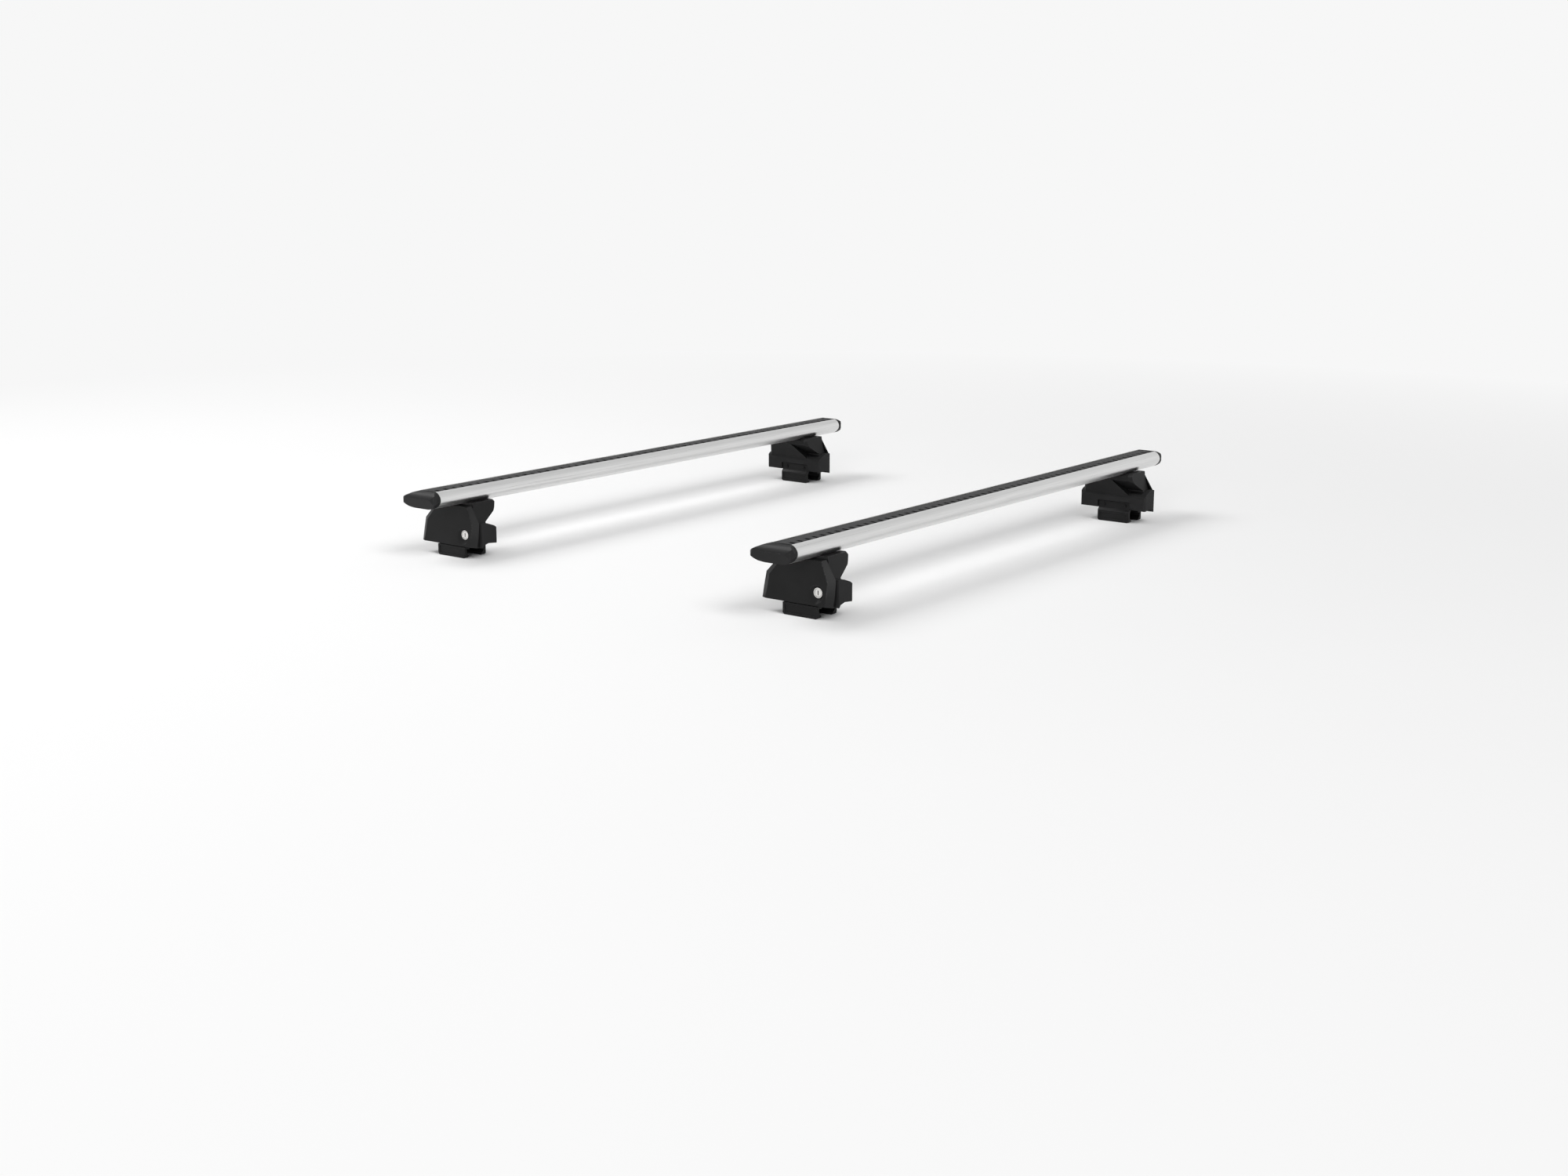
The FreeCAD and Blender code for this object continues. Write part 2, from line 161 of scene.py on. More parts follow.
def anodised_finish():
    material, tree, shader, place = start_finish("anodised_aluminium", metallic=1.0)
    lines = grain(tree, place, size=0.9 * MM, detail=4.0, stretch=(1, 0.008, 1))
    broad = grain(tree, place, size=60 * MM, detail=2.0, stretch=(1, 0.3, 1))
    silver = tint(tree, span(tree, lines, 0, 1), *SILVER_LINES)
    silver = tint(tree, span(tree, broad, 0, 0.35), silver, SILVER_CLOUD)
    tree.links.new(silver, shader.inputs["Base Color"])
    tree.links.new(span(tree, lines, 0.27, 0.40), shader.inputs["Roughness"])
    relief(tree, shader, lines, depth=0.02 * MM, strength=0.5)
    return material


finishes = {"anodised": anodised_finish()}
print("finish:", finishes["anodised"].name)

# %% [markdown]
# ## Black mouldings, rubber and powder coat
# All the dark pieces share one recipe: a base colour that wanders a little,
# a roughness that wanders with it, a fine relief from the mould or the sprayed
# coat, and paler edges where hands and straps rub. The rub marks need to know
# where the edges are. The rounding step below marks its new faces with an
# attribute called rubbed, and the material reads it back, broken up by noise.
# A second attribute marks the floors and walls of the strip's notches, where the finish paints shade: it
# colours them near black.

# %% Recipe for the dark finishes
DARK_GLOSS = 0.17
# Painted shade: the near-black colour painted into the strip's notches
PAINTED_NOTCH_SHADE = 0.004


def grey(value):
    """Dark grey with a touch of blue."""
    return (value, value, value * 1.03)


def dark_finish(name, deep, pale, worn, rough, lump, depth, drawn=(1, 1, 1)):
    """deep and pale bound the colour, rough the roughness, lump is the relief's size."""
    material, tree, shader, place = start_finish(name, metallic=0.0)
    shader.inputs["Specular IOR Level"].default_value = DARK_GLOSS
    broad = grain(tree, place, size=35 * MM, detail=3.0)
    fine = grain(tree, place, size=lump, detail=2.0, stretch=drawn)
    speckle = span(tree, grain(tree, place, size=2.2 * MM, detail=4.0), 0, 1, start=0.45, stop=0.7)
    rubbed = add(tree, "ShaderNodeAttribute", attribute_name="rubbed").outputs["Fac"]
    marks = add(tree, "ShaderNodeMath", {0: rubbed, 1: speckle}, operation="MULTIPLY").outputs[0]
    # Painted shade: faces marked by the attribute are coloured near black
    painted_shade = add(tree, "ShaderNodeAttribute", attribute_name="painted_shade").outputs["Fac"]
    colour = tint(tree, span(tree, broad, 0, 1), grey(deep), grey(pale))
    colour = tint(tree, painted_shade, tint(tree, marks, colour, grey(worn)), grey(PAINTED_NOTCH_SHADE))
    tree.links.new(colour, shader.inputs["Base Color"])
    mixed = add(tree, "ShaderNodeMath", {0: broad, 1: fine}, operation="MAXIMUM").outputs[0]
    tree.links.new(span(tree, mixed, *rough), shader.inputs["Roughness"])
    relief(tree, shader, fine, depth, strength=0.6)
    return material


print("dark recipe ready")

# %% The six dark finishes
finishes["strip_rubber"] = dark_finish("strip_rubber", deep=0.023, pale=0.034, worn=0.06, rough=(0.55, 0.72),
                                       lump=0.5 * MM, depth=0.05 * MM, drawn=(1, 0.05, 1))
finishes["cap_plastic"] = dark_finish("cap_plastic", deep=0.008, pale=0.012, worn=0.03, rough=(0.33, 0.43),
                                      lump=0.45 * MM, depth=0.03 * MM)
finishes["foot_plastic"] = dark_finish("foot_plastic", deep=0.0055, pale=0.009, worn=0.03, rough=(0.40, 0.54),
                                       lump=0.6 * MM, depth=0.04 * MM)
finishes["cover_plastic"] = dark_finish("cover_plastic", deep=0.0045, pale=0.0075, worn=0.032,
                                        rough=(0.36, 0.48), lump=0.5 * MM, depth=0.03 * MM)
finishes["pad_rubber"] = dark_finish("pad_rubber", deep=0.010, pale=0.015, worn=0.035, rough=(0.58, 0.75),
                                     lump=0.8 * MM, depth=0.06 * MM)
finishes["jaw_metal"] = dark_finish("powder_coat", deep=0.004, pale=0.007, worn=0.03, rough=(0.36, 0.50),
                                    lump=1.3 * MM, depth=0.05 * MM)
print("finishes:", sorted(finishes))

# %% [markdown]
# ## Zinc and nickel
# The clamp bolts are zinc-plated steel, which is mottled and slightly blue. The
# lock barrels are nickel-plated, warmer and shinier, with small scratches round
# the keyway. Two grains of different size are enough for both.

# %% Plated finishes
def plated_finish(name, dull, bright, rough, mottle):
    material, tree, shader, place = start_finish(name, metallic=1.0)
    patches = grain(tree, place, size=mottle, detail=4.0)
    scratches = grain(tree, place, size=0.25 * MM, detail=2.0, stretch=(1, 1, 0.1))
    tree.links.new(tint(tree, span(tree, patches, 0, 1), dull, bright), shader.inputs["Base Color"])
    tree.links.new(span(tree, scratches, *rough), shader.inputs["Roughness"])
    relief(tree, shader, scratches, depth=0.01 * MM, strength=0.5)
    return material


finishes["bolt_steel"] = plated_finish("zinc_steel", dull=(0.42, 0.44, 0.47), bright=(0.60, 0.61, 0.62),
                                       rough=(0.26, 0.42), mottle=3 * MM)
finishes["lock_metal"] = plated_finish("nickel_lock", dull=(0.66, 0.65, 0.63), bright=(0.80, 0.79, 0.77),
                                       rough=(0.16, 0.30), mottle=2 * MM)
print("finishes in all:", len(finishes))

# %% Give every CAD piece its finish
record = frame["record"]
slot_of_node = {part["node"]: part["material_slot"] for part in record["subparts"]}
for name, solid in solids.items():
    solid.data.materials.clear()
    solid.data.materials.append(finishes[slot_of_node[name]])
print("dressed", len(solids), "CAD pieces")

# %% [markdown]
# ## Keeping a finished piece
# Each finished mesh becomes an object at the origin. It takes a finish, takes
# the place of its CAD solid, and rides on the same body, so the joints move it.
# Shading is smooth except over sharp edges, and a Weighted Normal modifier
# keeps the large flats flat next to their rounded edges.

# %% Keep a mesh as a piece of the model
SHARP = 32
members_of_body = record["behaviour"]["bodies"]
body_of_node = {node: body for body, members in members_of_body.items() for node in members}


def keep(mesh, name, slot, body, stands_for=None, sharp=SHARP):
    """Shade the mesh, with edges sharp from an angle in degrees, and hand it to the model."""
    mesh.materials.clear()
    mesh.materials.append(finishes[slot])
    mesh.shade_smooth()
    mesh.set_sharp_from_angle(angle=math.radians(sharp))
    piece = bpy.data.objects.new(name, mesh)
    bpy.context.scene.collection.objects.link(piece)
    even = piece.modifiers.new("even_shading", "WEIGHTED_NORMAL")
    even.keep_sharp = True
    if stands_for:
        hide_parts(stands_for)
    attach(piece, body)
    return piece


# %% [markdown]
# ## Running a Geometry Nodes tree once
# A tree is a recipe: it gets a mesh and a few named sizes and gives back a
# shape. One helper starts a recipe with named inputs, one ends it, and a third
# runs it and keeps the plain mesh, so no modifier stays on the piece.

# %% Start, end and run a tree
def start_tree(name, inputs):
    tree = bpy.data.node_groups.new(name, "GeometryNodeTree")
    tree.interface.new_socket("Geometry", in_out="INPUT", socket_type="NodeSocketGeometry")
    for label, kind in inputs.items():
        tree.interface.new_socket(label, in_out="INPUT", socket_type="NodeSocket" + kind)
    tree.interface.new_socket("Geometry", in_out="OUTPUT", socket_type="NodeSocketGeometry")
    return tree, add(tree, "NodeGroupInput").outputs


def end_tree(tree, shape, finish):
    real = add(tree, "GeometryNodeRealizeInstances", {"Geometry": shape}).outputs[0]
    real = add(tree, "GeometryNodeSetMaterial", {"Geometry": real, "Material": finish}).outputs[0]
    add(tree, "NodeGroupOutput", {0: real})
    return tree


def run_tree(tree, mesh, values):
    holder = bpy.data.objects.new("holder", mesh)
    bpy.context.scene.collection.objects.link(holder)
    modifier = holder.modifiers.new("recipe", "NODES")
    modifier.node_group = tree
    for item in tree.interface.items_tree:
        if item.in_out == "INPUT" and item.name in values:
            modifier[item.identifier] = values[item.name]
    graph = bpy.context.evaluated_depsgraph_get()
    made = bpy.data.meshes.new_from_object(holder.evaluated_get(graph))
    bpy.data.objects.remove(holder)
    return made


print("trees can be run")

# %% Meshes that go into a tree and come out of one
DOUBLE = 1e-7


def loop_mesh(name, points, closed=True):
    """Mesh of edges only, through the points in order."""
    mesh = bpy.data.meshes.new(name)
    count = len(points)
    edges = [(i, (i + 1) % count) for i in range(count if closed else count - 1)]
    mesh.from_pydata(points, edges, [])
    return mesh


def outward(mesh):
    """Merge doubles and point every face outward."""
    shape = bmesh.new()
    shape.from_mesh(mesh)
    bmesh.ops.remove_doubles(shape, verts=shape.verts, dist=DOUBLE)
    bmesh.ops.recalc_face_normals(shape, faces=shape.faces)
    shape.to_mesh(mesh)
    shape.free()
    return mesh


print("mesh helpers ready")

# %% [markdown]
# ## The wing section
# The bar is an aerofoil: a blunt nose to the front, a flat underside, a tail
# carried high. A slot under the rubber strip takes carrier bolts and a slot in
# the underside guides the feet. The section could be drawn by hand point by
# point, but it follows a rule: a few arcs that run into each other. So the code
# walks round it, bend after bend, with a point every few degrees. Points are
# complex numbers in millimetres, forward and up from the top of the strip,
# because turning an arc is then one multiplication.

# %% Two ways to draw an arc
DEGREES_PER_STEP = 4


def bend(start, heading, finish, radius):
    """Points of a clockwise arc; headings are degrees below forward."""
    def normal(angle):
        return complex(math.sin(math.radians(angle)), math.cos(math.radians(angle)))
    centre = start - radius * normal(heading)
    turn = finish - heading
    steps = int(abs(turn) // DEGREES_PER_STEP)
    return [centre + radius * normal(heading + turn * i / steps) for i in range(steps + 1)]


def arc_through(start, middle, end, steps):
    ratio = (end - start) / (middle - start)
    centre = start - (start - middle) * (ratio - abs(ratio) ** 2) / (2j * ratio.imag)
    first_turn = cmath.phase((middle - centre) / (start - centre))
    turn = first_turn + cmath.phase((end - centre) / (middle - centre))
    return [centre + (start - centre) * cmath.rect(1, turn * i / steps) for i in range(steps + 1)]


print("arcs have a point every", DEGREES_PER_STEP, "degrees")

# %% Walk round the section
CROWN_START, CROWN_RADIUS = 27.6 - 0.4j, 15.15
NOSE_RADIUS, JOWL_RADIUS = 10.07, 22.68
CROWN_HEADING, NOSE_HEADING, JOWL_HEADING, LEVEL_HEADING = 14, 60, 125, 180
BELLY_START, BELLY_MIDDLE = -14, -26.4 - 25.72j
TAIL_UNDER, TAIL_TIP, TAIL_OVER = -37.2 - 19.2j, -38.6 - 16.9j, -37.5 - 14.9j
BACK_MIDDLE, BACK_END = -21.2 - 5.9j, -5.6 - 0.5j
LIP = [-4.6 - 0.1j, -4.0 + 0j, -3.5 - 0.2j, -3.4 - 0.5j]
SEAT, THROAT, SLOT_FLOOR = -2.4, -4.6, -11
LEDGE, CEILING = -25.4, -19

crown = bend(CROWN_START, CROWN_HEADING, NOSE_HEADING, CROWN_RADIUS)
nose = bend(crown[-1], NOSE_HEADING, JOWL_HEADING, NOSE_RADIUS)
jowl = bend(nose[-1], JOWL_HEADING, LEVEL_HEADING, JOWL_RADIUS)
keel = jowl[-1].imag
underslot = [(5.5, keel), (5.5, LEDGE), (10.5, LEDGE), (10.5, CEILING),
             (-10.5, CEILING), (-10.5, LEDGE), (-5.5, LEDGE), (-5.5, keel)]
belly = arc_through(complex(BELLY_START, keel), BELLY_MIDDLE, TAIL_UNDER, 12)
tail = arc_through(TAIL_UNDER, TAIL_TIP, TAIL_OVER, 10)
back = arc_through(TAIL_OVER, BACK_MIDDLE, BACK_END, 16) + LIP
topslot = [(-3.4, SEAT), (6.5, SEAT), (6.5, THROAT), (1.5, THROAT), (1.5, SLOT_FLOOR),
           (22.5, SLOT_FLOOR), (22.5, THROAT), (17.5, THROAT), (17.5, SEAT), (27.6, SEAT)]
walk = crown[:-1] + nose[:-1] + jowl + [complex(*p) for p in underslot]
walk += belly[:-1] + tail[:-1] + back + [complex(*p) for p in topslot]
wing_section = loop_mesh("wing_section", [(p.real * MM, TOP + p.imag * MM, 0) for p in walk])
print("wing section:", len(walk), "points, underside at", round(keel, 2), "mm")

# %% [markdown]
# ## Extruding with Geometry Nodes
# An extrusion is the plainest rule there is: one section, one length. The tree
# fills the section, extrudes the fill, closes the start with a flipped copy and
# turns the result so that it runs along Y. The bars and the rubber strips are
# both made by it.

# %% Tree: extruded section
SEAM = 1e-6


def extrusion_tree():
    sizes = {"Length": "Float", "Place": "Vector", "Finish": "Material"}
    tree, given = start_tree("extruded_section", sizes)
    curve = add(tree, "GeometryNodeMeshToCurve", {"Mesh": given["Geometry"]}).outputs[0]
    fill = add(tree, "GeometryNodeFillCurve", {"Curve": curve}, mode="NGONS").outputs[0]
    along = add(tree, "ShaderNodeCombineXYZ", {"Z": given["Length"]}).outputs[0]
    feeds = {"Mesh": fill, "Offset": along, "Individual": False}
    grown = add(tree, "GeometryNodeExtrudeMesh", feeds).outputs[0]
    shut = add(tree, "GeometryNodeFlipFaces", {"Mesh": fill}).outputs[0]
    join = add(tree, "GeometryNodeJoinGeometry", {0: grown})
    tree.links.new(shut, join.inputs[0])
    feeds = {"Geometry": join.outputs[0], "Distance": SEAM}
    whole = add(tree, "GeometryNodeMergeByDistance", feeds).outputs[0]
    feeds = {"Geometry": whole, "Rotation": (math.pi / 2, 0, 0), "Translation": given["Place"]}
    turned = add(tree, "GeometryNodeTransform", feeds).outputs[0]
    return end_tree(tree, turned, given["Finish"])


extrusion = extrusion_tree()
print("tree:", extrusion.name)

# %% The two bars
BAR_SHARP = 20


def extruded(section, bar, finish):
    values = {"Length": BAR_LENGTH, "Place": (BAR_X[bar], BAR_LENGTH / 2, 0), "Finish": finishes[finish]}
    return outward(run_tree(extrusion, section, values))


for bar in BAR_X:
    mesh = extruded(wing_section, bar, "anodised")
    keep(mesh, bar + "_bar_extrusion", "anodised", "bars", bar + "_bar", BAR_SHARP)
    print(bar, "bar:", len(mesh.polygons), "faces")

# %% [markdown]
# ## The notched rubber strip
# A charcoal rubber strip closes the upper slot and stops a load from slipping.
# Short notches are moulded straight across its front edge, one every 17.5 mm,
# and break up the wind noise. Cutting sixty notches by hand would be dull work:
# a Mesh Line gives the places, Instance on Points the cutters, and one Mesh
# Boolean takes them all out.

# %% Tree: row of notches
def notch_tree():
    sizes = {"Count": "Int", "Pitch": "Float", "Start": "Vector", "Notch": "Vector", "Slant": "Vector",
             "Finish": "Material"}
    tree, given = start_tree("notch_row", sizes)
    step = add(tree, "ShaderNodeCombineXYZ", {"Y": given["Pitch"]}).outputs[0]
    feeds = {"Count": given["Count"], "Start Location": given["Start"], "Offset": step}
    row = add(tree, "GeometryNodeMeshLine", feeds, mode="OFFSET").outputs[0]
    cutter = add(tree, "GeometryNodeMeshCube", {"Size": given["Notch"]}).outputs[0]
    feeds = {"Points": row, "Instance": cutter, "Rotation": given["Slant"]}
    cutters = add(tree, "GeometryNodeInstanceOnPoints", feeds).outputs[0]
    cutters = add(tree, "GeometryNodeRealizeInstances", {"Geometry": cutters}).outputs[0]
    feeds = {0: given["Geometry"], 1: cutters}
    cut = add(tree, "GeometryNodeMeshBoolean", feeds, operation="DIFFERENCE").outputs[0]
    return end_tree(tree, cut, given["Finish"])


notches = notch_tree()
print("tree:", notches.name)

# %% Section of the strip, with its root in the slot
STRIP_POINTS = [(-3, SEAT), (-3, -1.8), (-2.5, -1.3), (-1.4, -1.05), (6, -0.5), (14, -0.2), (22, -0.2),
                (25.4, -0.35), (26.5, -0.7), (27, -1.2), (27, SEAT), (17.2, SEAT), (17.2, -5.0), (19.5, -5.4),
                (15, -7.6), (9, -7.6), (4.5, -5.4), (6.8, -5.0), (6.8, SEAT)]
strip_section = loop_mesh("strip_section", [(x * MM, TOP + w * MM, 0) for x, w in STRIP_POINTS])
print("strip section:", len(STRIP_POINTS), "points")

# %% The two strips
NOTCHES, PITCH = 60, 17.5 * MM
NOTCH_X = 21.9 * MM
NOTCH_BOX = (12.2 * MM, 5.6 * MM, 4.0 * MM)
NOTCH_SLANT = (0, 0, -0.06)
INSIDE_X = 10 * MM, 27.5 * MM
INSIDE_DEPTH = 0.6 * MM, 2.2 * MM
STRIP_SHARP = 25


def paint_notch_shade(mesh, x):
    """Mark the floors and side walls of the notches, where the finish paints shade near black."""
    painted_shade = mesh.attributes.new("painted_shade", "FLOAT", "FACE")
    for face in mesh.polygons:
        across = INSIDE_X[0] < face.center.x - x < INSIDE_X[1]
        sunk = INSIDE_DEPTH[0] < TOP - face.center.z < INSIDE_DEPTH[1]
        turned = abs(face.normal.y) + abs(face.normal.z) > 0.1
        painted_shade.data[face.index].value = 1.0 if across and sunk and turned else 0.0


for bar, x in BAR_X.items():
    first = (x + NOTCH_X, -0.5 * (NOTCHES - 1) * PITCH, TOP)
    values = {"Count": NOTCHES, "Pitch": PITCH, "Start": first, "Notch": NOTCH_BOX, "Slant": NOTCH_SLANT,
              "Finish": finishes["strip_rubber"]}
    mesh = outward(run_tree(notches, extruded(strip_section, bar, "strip_rubber"), values))
    # Mark the notch faces that get painted shade
    paint_notch_shade(mesh, x)
    keep(mesh, bar + "_strip_notched", "strip_rubber", "bars", bar + "_strip", STRIP_SHARP)
    print(bar, "strip:", len(mesh.polygons), "faces after", NOTCHES, "notches")

# %% [markdown]
# ## Rounding the mouldings
# A CAD solid has knife edges. A real moulding never has, and the thin highlight
# along an edge is what tells the eye how big a thing is. A copy of each solid
# is merged, its flat triangles are joined into clean faces, and its sharp edges
# are bevelled. Creases between two large facets are bevelled even where they
# are shallow, and round surfaces and inside corners are left alone, because a
# filled corner could touch a neighbour that moves past it. The tail and the
# nose of an end cap are blunter than the rest, so they get a wider bevel first.

# %% Pick edges and bevel them
SHALLOW = 4
TIP_ROUND = 1.6 * MM
TIP_TAIL, TIP_NOSE, TIP_PROUD = -29 * MM, 24 * MM, 4.5 * MM


def bevelled(shape, edges, width, steps, clamp):
    """Bevel the edges and give back the new faces."""
    made = bmesh.ops.bevel(shape, geom=edges, offset=width, offset_type="OFFSET", segments=steps, profile=0.5,
                           affect="EDGES", clamp_overlap=clamp)
    return made["faces"]


def sharp_edges(shape, crease_area, least):
    """Outer edges that turn by so many degrees, and shallow ones between large facets."""
    found = []
    for edge in shape.edges:
        angle = math.degrees(edge.calc_face_angle_signed(0.0))
        broad = min([face.calc_area() for face in edge.link_faces] or [0]) > crease_area
        if angle > least or (broad and angle > SHALLOW):
            found.append(edge)
    return found


def round_tips(shape, bar_x):
    """Round a cap lid's outer edges generously at its tail and at its nose."""
    outline = []
    for edge in shape.edges:
        middle = (edge.verts[0].co + edge.verts[1].co) / 2
        at_tip = not TIP_TAIL <= middle.x - bar_x <= TIP_NOSE
        proud = abs(middle.y) - BAR_LENGTH / 2 > TIP_PROUD
        if at_tip and proud and edge.calc_face_angle_signed(0.0) > math.radians(SHARP):
            outline.append(edge)
    bevelled(shape, outline, TIP_ROUND, 3, True)


print("tips are rounded by", TIP_ROUND / MM, "mm")

# %% A clean copy of a CAD solid
WELD, SLIVER, FLAT = 0.001 * MM, 0.12 * MM, 0.6


def welded(node):
    """A merged copy of a CAD solid, with its flat triangles joined."""
    shape = bmesh.new()
    shape.from_mesh(solids[node].data)
    bmesh.ops.remove_doubles(shape, verts=shape.verts, dist=WELD)
    bmesh.ops.dissolve_degenerate(shape, edges=shape.edges, dist=SLIVER)
    bmesh.ops.dissolve_limit(shape, angle_limit=math.radians(FLAT), verts=shape.verts, edges=shape.edges)
    if node.endswith("cap_lid"):
        round_tips(shape, BAR_X[node.split("_")[0]])
    for table in (shape.faces, shape.edges):
        table.index_update()
        table.ensure_lookup_table()
    return shape


print("solids can be welded")

# %% [markdown]
# ## Edges that have no room
# Where a wall is thinner than two bevels, the bevels cross, the face between
# them folds over itself, and its triangles may spread over an opening. Such a
# face gives itself away: its triangles cover more than its outline holds. The
# cure is to leave the edges beside it sharp and to bevel again, first only the
# edges that are short or close to another one, then all that touch the face.

# %% Find folded faces, and the edges beside them
FOLD, FOLD_SHARE = 0.5 * MM * MM, 1.01


def folded(shape, origin):
    """Numbers of the solid's faces that the bevel has folded."""
    cover = {}
    for a, b, c in shape.calc_loop_triangles():
        half = (b.vert.co - a.vert.co).cross(c.vert.co - a.vert.co).length / 2
        cover[a.face] = cover.get(a.face, 0) + half
    return {face[origin] for face, area in cover.items() if area > FOLD_SHARE * face.calc_area() + FOLD}


def gap(edge, other):
    """Least distance between two edges that do not cross."""
    def reach(vert, line):
        start, end = (corner.co for corner in line.verts)
        share = intersect_point_line(vert.co, start, end)[1]
        return (vert.co - start.lerp(end, min(max(share, 0), 1))).length
    return min([reach(vert, other) for vert in edge.verts] + [reach(vert, edge) for vert in other.verts])


def tight(face, room):
    """Edges of a face that are short, or that run close to another of its edges."""
    found = {edge.index for edge in face.edges if edge.calc_length() < room}
    for edge in face.edges:
        for other in face.edges:
            if not set(edge.verts) & set(other.verts) and gap(edge, other) < room:
                found.add(edge.index)
    return found


def without_room(node, faults, warned, room):
    """Edges to leave sharp beside folded faces; more of them where a face folds again."""
    plain = welded(node)
    found = set()
    for index in faults:
        face = plain.faces[index]
        around = {edge.index for vert in face.verts for edge in vert.link_edges}
        found |= around if index in warned else tight(face, room)
    plain.free()
    return found


print("a fold is more than", FOLD / MM / MM, "square mm")

# %% [markdown]
# ## One rounded mesh for every moulding
# With those helpers the rounding is a short loop. The bevel's new faces get the
# rubbed mark that the dark finishes read, and specks that the bevel leaves are
# dissolved. The table gives each kind of piece its own width: soft rubber is
# rounder than a stamped jaw, and a jaw is rounder than a turned lock.

# %% Round one piece
ATTEMPTS, ROOM, SPECK = 8, 2.2, 0.01 * MM


def softened(node, width, crease_area, least):
    """Rounded mesh of a CAD piece, bevelled again until no face is folded."""
    spared, warned = set(), set()
    for attempt in range(ATTEMPTS):
        shape = welded(node)
        origin = shape.faces.layers.int.new("origin")
        marks = shape.faces.layers.float.new("rubbed")
        for face in shape.faces:
            face[origin] = face.index
        edges = [edge for edge in sharp_edges(shape, crease_area, least) if edge.index not in spared]
        rounds = bevelled(shape, edges, width, 2, False)
        faults = folded(shape, origin)
        if not faults or attempt == ATTEMPTS - 1:
            break
        shape.free()
        spared |= without_room(node, faults, warned, ROOM * width)
        warned |= faults
    for face in rounds:
        face[marks] = 1.0
    bmesh.ops.dissolve_degenerate(shape, edges=shape.edges, dist=SPECK)
    shape.faces.layers.int.remove(origin)
    mesh = bpy.data.meshes.new(node + "_rounded")
    shape.to_mesh(mesh)
    shape.free()
    if "custom_normal" in mesh.attributes:
        mesh.attributes.remove(mesh.attributes["custom_normal"])
    return mesh


print("a piece gets at most", ATTEMPTS, "attempts")

# %% Round every moulding
# Bevel width in mm, the area in square mm above which a facet counts as large,
# and the angle in degrees from which an edge counts as sharp
NEVER = 9e9
LID_SHARP = 22
ROUNDING = {
    "base": (0.7, 60, SHARP), "pad": (1.1, 60, SHARP), "cover": (0.8, 60, SHARP),
    "jaw_outer": (0.5, 40, SHARP), "jaw_inner": (0.5, 40, SHARP),
    "cap_lid": (0.45, NEVER, LID_SHARP), "cap_frame": (0.25, NEVER, SHARP),
    "bolt": (0.25, NEVER, SHARP), "lock_sleeve": (0.3, NEVER, SHARP), "lock_core": (0.2, NEVER, SHARP),
}
SHADING = {"cap_lid": 44}
total = 0
for bar, side in CORNERS:
    for kind, (width, crease, least) in ROUNDING.items():
        node = "%s_%s_%s" % (bar, side, kind)
        mesh = softened(node, width * MM, crease * MM * MM, least)
        shading = SHADING.get(kind, SHARP)
        keep(mesh, node + "_rounded", slot_of_node[node], body_of_node[node], node, shading)
        total += len(mesh.polygons)
print("rounded", len(CORNERS) * len(ROUNDING), "pieces,", total, "faces")

# %% [markdown]
# ## Grip ribs under the pads
# The underside of the rubber pad has a row of low ribs, so that it grips when
# it is wet. They follow the arch of the underside, which makes this a job for
# Geometry Nodes: the arch is a short line, resampled into even steps, with one
# rib on each point.

# %% Tree: ribs along a line
RIB_SIDES = 10


def rib_tree():
    sizes = {"Step": "Float", "Radius": "Float", "Length": "Float", "Finish": "Material"}
    tree, given = start_tree("rib_row", sizes)
    path = add(tree, "GeometryNodeMeshToCurve", {"Mesh": given["Geometry"]}).outputs[0]
    feeds = {"Curve": path, "Length": given["Step"]}
    path = add(tree, "GeometryNodeResampleCurve", feeds, mode="LENGTH").outputs[0]
    points = add(tree, "GeometryNodeCurveToPoints", {"Curve": path}, mode="EVALUATED").outputs["Points"]
    feeds = {"Vertices": RIB_SIDES, "Radius": given["Radius"], "Depth": given["Length"]}
    rib = add(tree, "GeometryNodeMeshCylinder", feeds).outputs["Mesh"]
    feeds = {"Geometry": rib, "Rotation": (0, math.pi / 2, 0)}
    rib = add(tree, "GeometryNodeTransform", feeds).outputs[0]
    ribs = add(tree, "GeometryNodeInstanceOnPoints", {"Points": points, "Instance": rib}).outputs[0]
    return end_tree(tree, ribs, given["Finish"])


print("ribs have", RIB_SIDES, "sides")

# %% Ribs on the four pads
ARCH = [(-18.6, -90.05), (-12.5, -89.5), (-7, -89.0), (-4.2, -89.7)]


def carried(mesh, bar, side):
    """A copy of a piece in the foot frame, carried to its corner."""
    copy = mesh.copy()
    copy.transform(foot_matrix(bar, side))
    return outward(copy)


arch = loop_mesh("arch", [(0, out * MM, w * MM) for out, w in ARCH], closed=False)
ribs = run_tree(rib_tree(), arch, {"Step": 2.4 * MM, "Radius": 0.75 * MM, "Length": 112 * MM,
                                   "Finish": finishes["pad_rubber"]})
for bar, side in CORNERS:
    corner = "%s_%s" % (bar, side)
    keep(carried(ribs, bar, side), corner + "_pad_ribs", "pad_rubber", corner + "_foot")
print("ribs on each pad:", len(ribs.polygons) // (RIB_SIDES + 2))

# %% [markdown]
# ## Screws that hold the inner jaws
# The fixed inner jaw is a bent plate held by two button-head screws with a hex
# socket. The head is a cylinder, its socket a six-sided cutter taken out by a
# Mesh Boolean, and a two-point line repeats it.

# %% Tree: socket screws
HEAD_SIDES, SOCKET_SIDES = 24, 6
SOCKET_STRETCH = (1, 1, 1.4)


